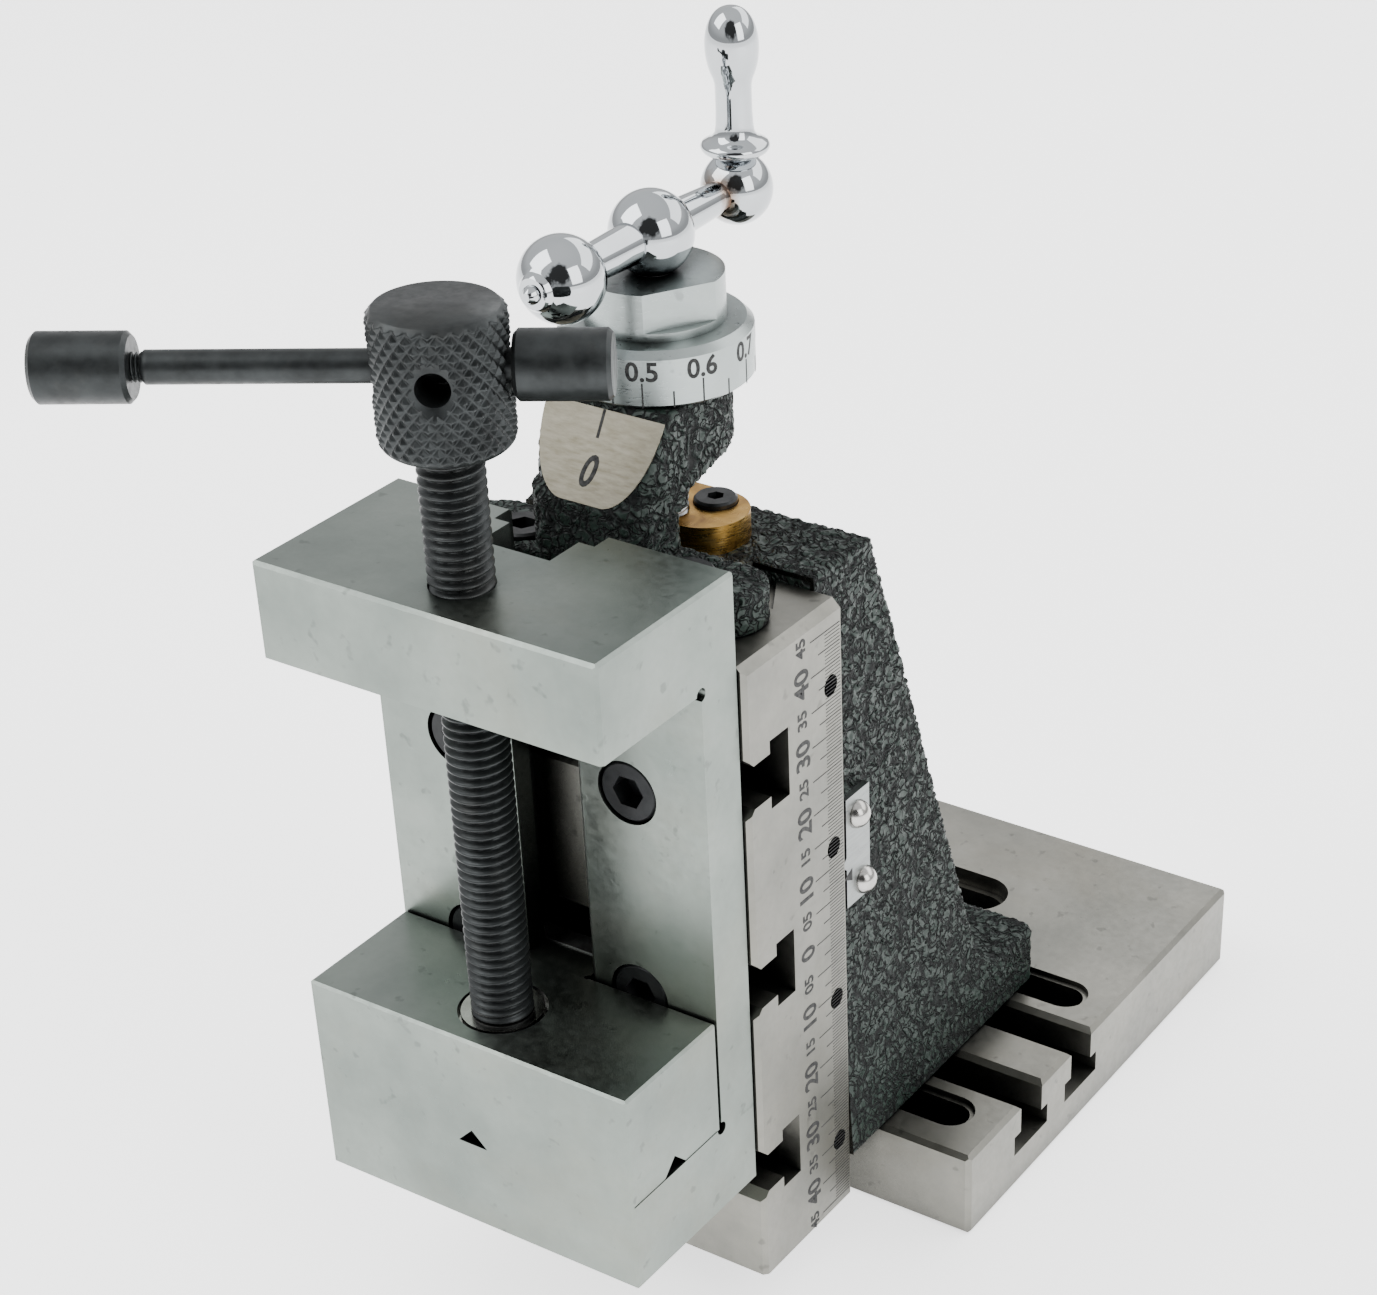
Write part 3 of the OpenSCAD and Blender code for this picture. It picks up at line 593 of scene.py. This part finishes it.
def crank_arm():
    """Three balls on a tapered arm along Y, with a turned pip on the front ball."""
    reach = 17.8 * MM
    far = HANDLE.y - FEED.y
    ball = CRANK_BALL_R
    small = 4.6 * MM
    centre = FEED + Z * CRANK_Z

    def ball_arc(at, radius, thick_in, thick_out):
        """The profile of a ball at a place on the arm, from one thickness of the arm to the next."""
        start = -math.acos(thick_in / radius)
        end = math.acos(thick_out / radius)
        turns = (start + (end - start) * k / 30 for k in range(31))
        return [(radius * math.cos(turn), at + radius * math.sin(turn)) for turn in turns]

    profile = [(0, -reach - ball - 1.5 * MM), (0.5 * MM, -reach - ball - 1.45 * MM),
               (1.1 * MM, -reach - ball - 0.8 * MM), (1.15 * MM, -reach - ball - 0.35 * MM),
               (1.9 * MM, -reach - ball - 0.3 * MM), (2.3 * MM, -reach - ball + 0.15 * MM),
               (2.35 * MM, -reach - ball + 0.5 * MM)]
    profile += ball_arc(-reach, ball, 2.45 * MM, 2.3 * MM)
    profile += ball_arc(0, ball, 2.6 * MM, 2.45 * MM)
    profile += ball_arc(far, small, 2.0 * MM, 0.02 * MM)
    profile.append((0, far + small))
    arm = piece("crank_arm_balls", *placed(turned(profile), along(centre, Y)),
                "feed_crank", "bright_chrome", sharp=40, replaces=("crank_arm",))
    foot = placed(turned([(0, -9 * MM), (12 * MM, -9 * MM), (12 * MM, 0), (0, 0)], 24),
                  Matrix.Translation(FEED + Z * low("crank_arm").z))
    top = placed(turned([(0, 0), (5 * MM, 0), (5 * MM, 6 * MM), (0, 6 * MM)], 24),
                 Matrix.Translation(HANDLE + Z * (CRANK_Z + small - 0.3 * MM)))
    cut(arm, [foot, top])


def crank_handle():
    """The turned handle: flange, waist and a swelling grip, with its profile in millimetres."""
    base = CRANK_Z + 4.3 * MM
    tall = (high("crank_handle").z - base) / MM
    end_tall = 4.7
    grip_z = 9.5
    grip_r = 3.35
    end_z = tall - end_tall
    profile = [(0, 0), (2.6, 0), (3.5, 0.15), (4.1, 0.55), (4.33, 0.95), (4.33, 1.3), (4.05, 1.65),
               (3.35, 1.95), (2.8, 2.3), (2.48, 2.9), (2.35, 3.8), (2.28, 5.5), (2.27, 7.5), (2.3, 8.9),
               (2.42, 9.3)]
    profile += [(grip_r - (grip_r - 2.45) * (1 - k / 10) ** 2.2, grip_z + (end_z - grip_z) * k / 10)
                for k in range(10)]
    profile += [(grip_r * math.cos(a) ** 0.85, end_z + end_tall * math.sin(a))
                for a in (math.radians(90 * k / 20) for k in range(20))]
    profile.append((0, tall))
    profile = [(r * MM, z * MM) for r, z in profile]
    piece("crank_handle_turned", *placed(turned(profile), Matrix.Translation(HANDLE + Z * base)),
          "handle", "bright_chrome", sharp=50, replaces=("crank_handle",))


# ---------------------------------------------------------------- wrinkle-painted castings

def worm(point):
    """Height from 0 to 1 of the wrinkle paint at a point: short curling ridges with narrow valleys."""
    p = point / MM
    p = p + noise.noise_vector(p * 0.9) * 0.6
    rings = (noise.noise(p * 0.5) * 3.0) % 1.0
    ridge = min(1.0, (1 - abs(2 * rings - 1)) * 1.9)
    breaks = noise.noise(p * 1.2 + Vector((7, 3, 5)))
    return ridge * min(1.0, max(0.2, 0.75 + 1.3 * breaks))


def solid_copy(name, node):
    """A new object with a copy of a node's mesh."""
    obj = bpy.data.objects.new(name, frame["nodes"][node].data.copy())
    bpy.context.scene.collection.objects.link(obj)
    return obj


def fade(distance, reach):
    """Rises from 0 at a surface to 1 once a point is well clear of it."""
    return min(1.0, max(0.0, (distance - 0.2 * MM) / reach))


def wrinkle(obj, body, node, voxel, depth, free):
    """Gives a solid an even fine skin and raises the paint's wrinkles where free(point) allows."""
    modifier = obj.modifiers.new("skin", "REMESH")
    modifier.mode = "VOXEL"
    modifier.voxel_size = voxel
    mesh = bpy.data.meshes.new_from_object(obj.evaluated_get(bpy.context.evaluated_depsgraph_get()))
    obj.modifiers.clear()
    obj.data = mesh
    moves = [v.co + v.normal * (worm(v.co) * free(v.co) * depth) for v in mesh.vertices]
    for v, co in zip(mesh.vertices, moves):
        v.co = co
    mesh.materials.clear()
    mesh.materials.append(MATERIALS["wrinkle_paint"])
    mesh.shade_smooth()
    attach(obj, body)
    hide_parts(node)


def angle_casting():
    """The painted casting, with its machined dovetail as a crisp piece of bare iron."""
    lo, hi = low("angle_casting"), high("angle_casting")
    face = low("pointer_plate").y - 0.2 * MM
    far = 300 * MM
    front = solid_copy("casting_dovetail", "angle_casting")
    cut(front, [block((-far, face, -far), (far, far, far))])
    front.data.materials.clear()
    front.data.materials.append(MATERIALS["ground_iron"])
    front.data.materials.append(MATERIALS["wrinkle_paint"])
    for polygon in front.data.polygons:
        if polygon.normal.z > 0.9 and polygon.center.z > hi.z - 1 * MM:
            polygon.material_index = 1
    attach(front, "stand")
    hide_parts("angle_casting")
    body = solid_copy("casting_wrinkled", "angle_casting")
    cut(body, [block((-far, -far, -far), (far, face, far))])

    def free(point):
        return fade(point.z - lo.z, 0.5 * MM) * fade(point.y - face, 0.9 * MM)

    wrinkle(body, "stand", "angle_casting", SKIN * 1.1, 0.32 * MM, free)


def screw_bracket():
    """The painted bracket, smooth under its dial, on its machined slope and under its lugs."""
    lo, hi = low("screw_bracket"), high("screw_bracket")
    foot, _, plane = facet_plane()
    normal = (plane @ Z - foot).normalized()

    def free(point):
        below = point.z < foot.z - 0.3 * MM
        off_slope = 1 if below else fade(abs((point - foot).dot(normal)), 0.3 * MM)
        return off_slope * fade(point.z - lo.z, 0.4 * MM) * fade(hi.z - point.z, 0.4 * MM)

    bracket = solid_copy("bracket_wrinkled", "screw_bracket")
    wrinkle(bracket, "slide", "screw_bracket", SKIN, 0.24 * MM, free)


# ---------------------------------------------------------------- marks and numbers

def box_mark(a, b, thick):
    """A thin bar on the local XY plane between two corners."""
    return block((*a, -thick), (*b, thick))


def lettering(text, size, thick, slant=0.0):
    """The solid shape of a number, centred on the local origin, on the XY plane."""
    bold = 0.022
    curve = bpy.data.curves.new("number", "FONT")
    curve.body = text
    curve.size = size
    curve.align_x = "CENTER"
    curve.align_y = "CENTER"
    curve.extrude = thick
    curve.offset = size * bold
    curve.shear = slant
    curve.resolution_u = 4
    obj = bpy.data.objects.new("number", curve)
    bpy.context.scene.collection.objects.link(obj)
    depsgraph = bpy.context.evaluated_depsgraph_get()
    mesh = bpy.data.meshes.new_from_object(obj.evaluated_get(depsgraph))
    bm = bmesh.new()
    bm.from_mesh(mesh)
    bmesh.ops.remove_doubles(bm, verts=bm.verts, dist=size * 1e-4)
    bmesh.ops.recalc_face_normals(bm, faces=bm.faces)
    bm.to_mesh(mesh)
    bm.free()
    xs = [v.co.x for v in mesh.vertices]
    ys = [v.co.y for v in mesh.vertices]
    shift = Vector(((min(xs) + max(xs)) / 2, (min(ys) + max(ys)) / 2, 0))
    shape = [v.co - shift for v in mesh.vertices], [tuple(p.vertices) for p in mesh.polygons]
    bpy.data.objects.remove(obj)
    return shape


def gather(shapes):
    """Several shapes as one."""
    verts = []
    faces = []
    for part_verts, part_faces in shapes:
        start = len(verts)
        verts += part_verts
        faces += [tuple(i + start for i in face) for face in part_faces]
    return verts, faces


def slide_scale():
    """The millimetre scale 45 - 0 - 45 on the right side of the slide table."""
    lo, hi = low("slide_table"), high("slide_table")
    zero = (lo.z + hi.z) / 2 - 0.9 * MM
    to_face = seated((hi.x, hi.y, zero), Z, -Y, X)
    shapes = []
    for halves in range(-90, 91):
        u = halves * 0.5 * MM
        length = 6.96 if halves % 10 == 0 else 5.2 if halves % 5 == 0 else 3.7
        wide = (0.07 if halves % 5 == 0 else 0.05) * MM
        shapes.append(box_mark((u - wide, 0.25 * MM), (u + wide, length * MM), MARK_T))
    for value in range(0, 50, 5):
        text = "0" if value == 0 else f"{value:02d}"
        size = 4.3 * MM if value % 10 == 0 else 2.8 * MM
        letters = lettering(text, size, MARK_T)
        for side in ((1,) if value == 0 else (1, -1)):
            spot = Matrix.Translation((side * value * MM, 9.1 * MM, 0))
            shapes.append(placed(letters, spot))
    piece("slide_scale_marks", *placed(gather(shapes), to_face), "slide", "black_oxide", INK)


def dial_marks():
    """Twenty divisions round the dial, with a number at every tenth."""
    lo, hi = low("graduated_dial"), high("graduated_dial")
    r = (hi.x - lo.x) / 2
    foot = FEED + Z * lo.z
    front_reading = 0.4256

    def wrap(shape, value):
        """Bends a flat shape round the dial, centred on the place of a value."""
        verts, faces = shape
        start = math.radians(270 + (value - front_reading) * 360)
        bent = []
        for v in verts:
            turn = start + v.x / r
            bent.append(foot + Vector(((r + v.z) * math.cos(turn), (r + v.z) * math.sin(turn), v.y)))
        return bent, faces

    shapes = []
    for k in range(20):
        tall = 3.2 if k % 2 == 0 else 2.1
        shapes.append(wrap(box_mark((-0.1 * MM, 0.05 * MM), (0.1 * MM, tall * MM), MARK_T), k / 20))
    for k in range(10):
        verts, faces = lettering("0" if k == 0 else f"0.{k}", 3.4 * MM, MARK_T)
        shapes.append(wrap(([v + Vector((0, 4.65 * MM, 0)) for v in verts], faces), k / 10))
    piece("dial_marks", *gather(shapes), "feed_crank", "black_oxide", INK)


def facet_plane():
    """The foot, the length and a matrix of the machined slope on the front of the bracket."""
    lo, hi = low("screw_bracket"), high("screw_bracket")
    foot = Vector((FEED.x, lo.y, hi.z - 11.0 * MM))
    top = Vector((FEED.x, lo.y + 6.3 * MM, hi.z - 0.9 * MM))
    slope = (top - foot).normalized()
    normal = X.cross(slope).normalized()
    return foot, (top - foot).length, seated(foot, X, slope, normal)


def index_facet():
    """The bare machined slope on the bracket, with its index line and a slanted zero."""
    half = high("screw_bracket").y - FEED.y
    corner = 6 * MM
    inset = 0.12 * MM
    foot, length, plane = facet_plane()
    slope_y = (plane @ Y - foot).y
    edge = []
    for k in range(17):
        a = math.radians(86 * (1 - k / 16))
        across = half - corner + corner * math.cos(a) - inset
        edge.append((across, corner * (1 - math.sin(a)) / slope_y + inset))
    edge.append((half - inset, length - 0.02 * MM))
    plate = prism(edge + [(-across, up) for across, up in reversed(edge)], -0.2 * MM, 0.12 * MM)
    piece("index_facet", *placed(plate, plane), "slide", "screw_steel", BARE_FACET)
    line = box_mark((-0.2 * MM, length - 3.6 * MM), (0.2 * MM, length - 0.05 * MM), 0.15 * MM)
    zero = lettering("0", 5.6 * MM, 0.15 * MM, 0.25)
    zero = placed(zero, Matrix.Translation((0.1 * MM, 4.2 * MM, 0)) @ Matrix.Diagonal((0.78, 1, 1, 1)))
    piece("index_marks", *placed(gather([line, zero]), plane), "slide", "black_oxide", INK)


def pointer_mark():
    """The filled arrowhead on the pointer plate."""
    edge_y = low("pointer_plate").y
    tip = Vector((high("pointer_plate").x, edge_y + 0.25 * MM, low("slide_table").z + 52.0 * MM))
    head = prism([(0, 0), (2.05 * MM, -0.95 * MM), (2.05 * MM, 0.95 * MM)], -MARK_T, MARK_T)
    piece("pointer_mark", *placed(head, seated(tip, Y, Z, X)), "stand", "black_oxide", INK)


vice_screw()
feed_screw()
knurled_head()
tommy_bar()
crank_arm()
crank_handle()
slide_scale()
dial_marks()
angle_casting()
screw_bracket()
index_facet()
pointer_mark()


# ---------------------------------------------------------------- floor, light and camera

def floor():
    """A pale floor that glows a little, so that it meets the background, with a painted shadow under the base
    plate, where it is dark and does not glow.
    """
    size = 12.0
    corners = [(-size, -size, 0), (size, -size, 0), (size, size, 0), (-size, size, 0)]
    mesh = bpy.data.meshes.new("floor")
    mesh.from_pydata(corners, [], [(0, 1, 2, 3)])
    obj = bpy.data.objects.new("floor", mesh)
    s = Shader("pale_floor")
    tone = s.ramp(s.noise(3, 2), (0.3, (0.88, 0.88, 0.88)), (0.7, (0.92, 0.92, 0.92)))
    plate = high("base_plate")
    # painted shadow: just inside the base plate's outline the floor stops glowing and turns dark
    under = [s.math("LESS_THAN", s.math("ABSOLUTE", s.coordinate(axis)), half - 2 * MM)
             for axis, half in (("X", plate.x), ("Y", plate.y))]
    painted_shadow_under_plate = s.math("MULTIPLY", *under)
    s.link(tone, s.bsdf.inputs["Emission Color"])
    s.link(s.spread(painted_shadow_under_plate, 0, 1, 1.9, 0.0), s.bsdf.inputs["Emission Strength"])
    tone = s.mix(painted_shadow_under_plate, tone, (0.05, 0.05, 0.05))
    mesh.materials.append(s.finish(tone, 0.8))
    bpy.context.scene.collection.objects.link(obj)


def lamp(name, place, target, size, power):
    """A rectangular lamp that looks at a target."""
    data = bpy.data.lights.new(name, "AREA")
    data.shape = "RECTANGLE"
    data.size, data.size_y = size
    data.energy = power
    obj = bpy.data.objects.new(name, data)
    obj.location = place
    obj.rotation_euler = (Vector(target) - Vector(place)).to_track_quat("-Z", "Y").to_euler()
    bpy.context.scene.collection.objects.link(obj)


def view_direction():
    """The direction from the object to the viewer."""
    azimuth = math.radians(32.21)
    elevation = math.radians(32.84)
    return Vector((math.sin(azimuth) * math.cos(elevation), -math.cos(azimuth) * math.cos(elevation),
                   math.sin(elevation)))


def world():
    """A bright soft room, greyer near the horizon and dark where the viewer stands, for chrome to reflect."""
    sky = bpy.data.worlds.new("studio")
    bpy.context.scene.world = sky
    sky.use_nodes = True
    n = Nodes(sky.node_tree, "Generated")
    background = sky.node_tree.nodes["Background"]
    greys = ((0.0, 0.62), (0.1, 0.62), (0.3, 0.95), (1.0, 1.1))
    room = n.ramp(n.coordinate("Z"), *((place, (grey, grey * 1.01, grey * 1.02)) for place, grey in greys))
    ragged = n.math("MULTIPLY", n.noise(3.5, 3, 0.5), 0.22)
    near_viewer = n.math("ADD", ragged, n.against("DOT_PRODUCT", view_direction()))
    viewer = n.spread(near_viewer, 0.98, 1.04, 1.0, 0.06)
    shade = sky.node_tree.nodes.new("ShaderNodeVectorMath")
    shade.operation = "SCALE"
    n.link(room, shade.inputs[0])
    n.link(viewer, shade.inputs["Scale"])
    n.link(shade.outputs[0], background.inputs["Color"])
    background.inputs["Strength"].default_value = 1.15


def camera():
    """The viewing angle: azimuth and elevation round the object, a slight roll and a long lens."""
    roll = math.radians(-0.59)
    place = Vector((200.8, -317.3, 267.2)) * MM
    back = view_direction()
    right = Z.cross(back).normalized()
    up = back.cross(right)
    right, up = (right * math.cos(roll) + up * math.sin(roll),
                 up * math.cos(roll) - right * math.sin(roll))
    data = bpy.data.cameras.new("camera")
    data.lens = 75.68
    data.sensor_width = 36
    data.shift_x = -0.1364
    data.shift_y = 0.1661
    data.clip_start = 0.01
    obj = bpy.data.objects.new("camera", data)
    obj.matrix_world = seated(place, right, up, back)
    bpy.context.scene.collection.objects.link(obj)
    bpy.context.scene.camera = obj


def lamps():
    """A key lamp from the front left, a weaker one from the right and a wide one from behind."""
    centre = (Vector(cad_bounds[0]) + Vector(cad_bounds[1])) / 2
    for name, offset, size, power in (("key", (-0.55, -0.5, 0.8), (0.8, 0.8), 10),
                                      ("side", (0.85, -0.2, 0.45), (0.5, 0.7), 4.5),
                                      ("back", (0.3, 0.85, 0.7), (1.8, 0.6), 9)):
        lamp(name, centre + Vector(offset), centre, size, power)


floor()
world()
camera()
lamps()
